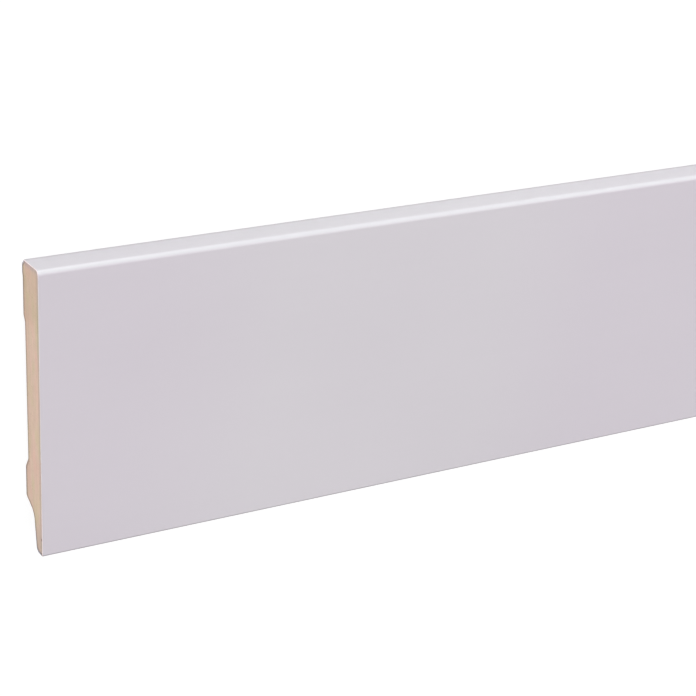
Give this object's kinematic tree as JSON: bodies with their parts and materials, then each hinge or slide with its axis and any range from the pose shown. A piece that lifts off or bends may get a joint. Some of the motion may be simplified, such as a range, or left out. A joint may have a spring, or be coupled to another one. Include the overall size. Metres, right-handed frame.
{
  "type": "skirting board length",
  "caption": "Flat skirting board with a rounded top edge, a relieved back and a rebate behind its foot for cables.",
  "frame": {"origin": "halfway along the board and halfway up its height, on the wall plane that it lies on", "axes": "+X along the board, +Y up its height towards the top edge, +Z out of the wall towards the finished face, which is upwards"},
  "size_m": [2.4, 0.12, 0.016],
  "materials": {
    "board": "satin white film over fibreboard, with the ends and the back bare"
  },
  "bodies": {
    "root": {"skirting_board": "board"}
  },
  "joints": []
}
